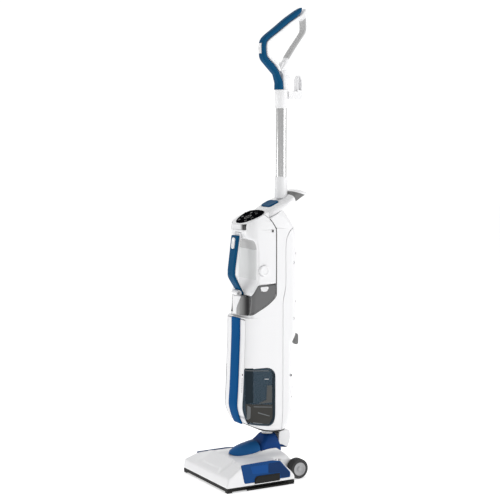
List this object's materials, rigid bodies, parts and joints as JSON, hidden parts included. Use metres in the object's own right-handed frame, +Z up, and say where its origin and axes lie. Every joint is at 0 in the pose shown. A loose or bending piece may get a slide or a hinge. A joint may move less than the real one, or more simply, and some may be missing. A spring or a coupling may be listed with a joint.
{
  "type": "wet dry floor scrubber",
  "caption": "Upright wet and dry floor scrubber: floor head with brush roller, tilting swivelling neck, tinted tanks, lift-off hand unit and a loop handle on a tube.",
  "frame": {"origin": "on the floor under the middle of the machine's box", "axes": "+Z up, the front of the machine faces -Y, +X is the side with the roller latch and the filler plug"},
  "size_m": [0.2378, 0.2915, 1.17],
  "materials": {
    "white_gloss": "glossy moulded plastic",
    "blue": "satin moulded plastic",
    "blue_head": "satin moulded plastic",
    "black_plastic": "fine texture",
    "black_glass": "polished touch panel",
    "grey_plastic": "fine texture",
    "rubber": "soft black rubber",
    "tyre": "soft tread rubber",
    "hub_grey": "satin",
    "smoke": "clear smoke-tinted plastic",
    "smoke_blue": "clear slate-tinted plastic",
    "chrome": "mirror plated",
    "steel": "machined",
    "bristle": "microfibre and nylon pile",
    "foam": "open-cell filter foam",
    "board_green": "circuit board"
  },
  "bodies": {
    "floor_head": {"head_base": "black_plastic", "head_cover": "white_gloss", "side_panel_left": "blue_head", "side_panel_right": "blue_head", "neck_tongue": "blue_head", "squeegee": "rubber", "brush_motor": "steel", "drive_belt": "rubber", "foot_front_left": "rubber", "foot_front_right": "rubber", "foot_rear_left": "rubber", "foot_rear_right": "rubber", "wheel_axle_left": "steel", "wheel_axle_right": "steel"},
    "roller_latch": {"roller_latch": "black_plastic"},
    "brush_roller": {"brush_roller": "bristle", "roller_pulley": "steel"},
    "motor_pulley": {"motor_pulley": "steel"},
    "wheel_left": {"tyre_left": "tyre", "wheel_hub_left": "hub_grey"},
    "wheel_right": {"tyre_right": "tyre", "wheel_hub_right": "hub_grey"},
    "neck": {"tilt_drum": "black_plastic", "neck_boot": "blue_head", "neck_rear_cover": "white_gloss", "swivel_collar": "white_gloss"},
    "main_body": {"base_plate": "black_plastic", "main_shell": "white_gloss", "rear_cover": "white_gloss", "deck": "white_gloss", "wing_insert": "grey_plastic", "lower_stem": "white_gloss", "suction_motor": "steel", "water_pump": "steel", "recovery_duct": "grey_plastic", "cord_gland": "black_plastic", "lower_cord_hook": "grey_plastic"},
    "release_button": {"release_button": "blue"},
    "waste_module": {"waste_tank": "smoke_blue", "tank_fascia": "white_gloss", "front_bar": "blue", "tank_lid": "grey_plastic", "tank_filter": "foam"},
    "hand_unit": {"unit_shell": "white_gloss", "display_panel": "black_glass", "control_board": "board_green", "carry_grip": "blue", "grip_frame": "white_gloss", "clean_tank": "smoke", "side_screw_left": "black_plastic", "side_screw_right": "black_plastic"},
    "hood_latch": {"hood_latch": "black_plastic"},
    "spray_button": {"spray_button": "white_gloss"},
    "tank_release_button": {"tank_release_button": "white_gloss"},
    "filler_plug": {"filler_plug": "white_gloss"},
    "handle": {"chrome_tube": "chrome", "handle_loop": "white_gloss", "loop_grip": "blue"},
    "power_switch": {"power_switch": "white_gloss"},
    "upper_cord_hook": {"upper_cord_hook": "white_gloss"}
  },
  "joints": [
    {"name": "neck_tilt", "type": "hinge", "parent": "floor_head", "child": "neck", "pos_m": [0, 0.036, 0.058], "axis": [-1, 0, 0], "range_deg": [0, 70]},
    {"name": "body_swivel", "type": "hinge", "parent": "neck", "child": "main_body", "pos_m": [0, 0.0325, 0.12], "axis": [0, 0, 1], "range_deg": [-30, 30]},
    {"name": "roller_spin", "type": "hinge", "parent": "floor_head", "child": "brush_roller", "pos_m": [0, -0.097, 0.0232], "axis": [1, 0, 0], "continuous": true},
    {"name": "motor_pulley_spin", "type": "hinge", "parent": "floor_head", "child": "motor_pulley", "pos_m": [0, -0.038, 0.03], "axis": [1, 0, 0], "continuous": true},
    {"name": "wheel_left_spin", "type": "hinge", "parent": "floor_head", "child": "wheel_left", "pos_m": [-0.074, 0.0766, 0.025], "axis": [1, 0, 0], "continuous": true},
    {"name": "wheel_right_spin", "type": "hinge", "parent": "floor_head", "child": "wheel_right", "pos_m": [0.074, 0.0766, 0.025], "axis": [1, 0, 0], "continuous": true},
    {"name": "latch_flap", "type": "hinge", "parent": "floor_head", "child": "roller_latch", "pos_m": [0.119, -0.035, 0.0155], "axis": [0, 1, 0], "range_deg": [0, 40], "stiffness_Nm_per_rad": 0.02},
    {"name": "upper_hook_turn", "type": "hinge", "parent": "handle", "child": "upper_cord_hook", "pos_m": [0, 0.0883, 0.951], "axis": [0, 1, 0], "range_deg": [0, 180]},
    {"name": "release_button_press", "type": "slide", "parent": "main_body", "child": "release_button", "axis": [0, 0.4384, -0.8988], "range_m": [0, 0.0025], "stiffness_N_per_m": 400},
    {"name": "hood_latch_press", "type": "slide", "parent": "hand_unit", "child": "hood_latch", "axis": [0, 1, 0], "range_m": [0, 0.0025], "stiffness_N_per_m": 400},
    {"name": "spray_button_press", "type": "slide", "parent": "hand_unit", "child": "spray_button", "axis": [0, 1, 0], "range_m": [0, 0.002], "stiffness_N_per_m": 400},
    {"name": "tank_release_press", "type": "slide", "parent": "hand_unit", "child": "tank_release_button", "axis": [-1, 0, 0], "range_m": [0, 0.0025], "stiffness_N_per_m": 400},
    {"name": "filler_plug_pull", "type": "slide", "parent": "hand_unit", "child": "filler_plug", "axis": [1, 0, 0], "range_m": [0, 0.015]},
    {"name": "waste_module_slide", "type": "slide", "parent": "main_body", "child": "waste_module", "axis": [0, -1, 0], "range_m": [0, 0.1]},
    {"name": "hand_unit_slide", "type": "slide", "parent": "main_body", "child": "hand_unit", "axis": [0, -1, 0], "range_m": [0, 0.1]},
    {"name": "handle_lift", "type": "slide", "parent": "main_body", "child": "handle", "axis": [0, 0, 1], "range_m": [0, 0.045]},
    {"name": "power_switch_press", "type": "slide", "parent": "handle", "child": "power_switch", "axis": [0, 1, 0], "range_m": [0, 0.002], "stiffness_N_per_m": 400}
  ],
  "couplings": [
    {"joint": "motor_pulley_spin", "follows": "roller_spin", "ratio": 1.6667}
  ]
}
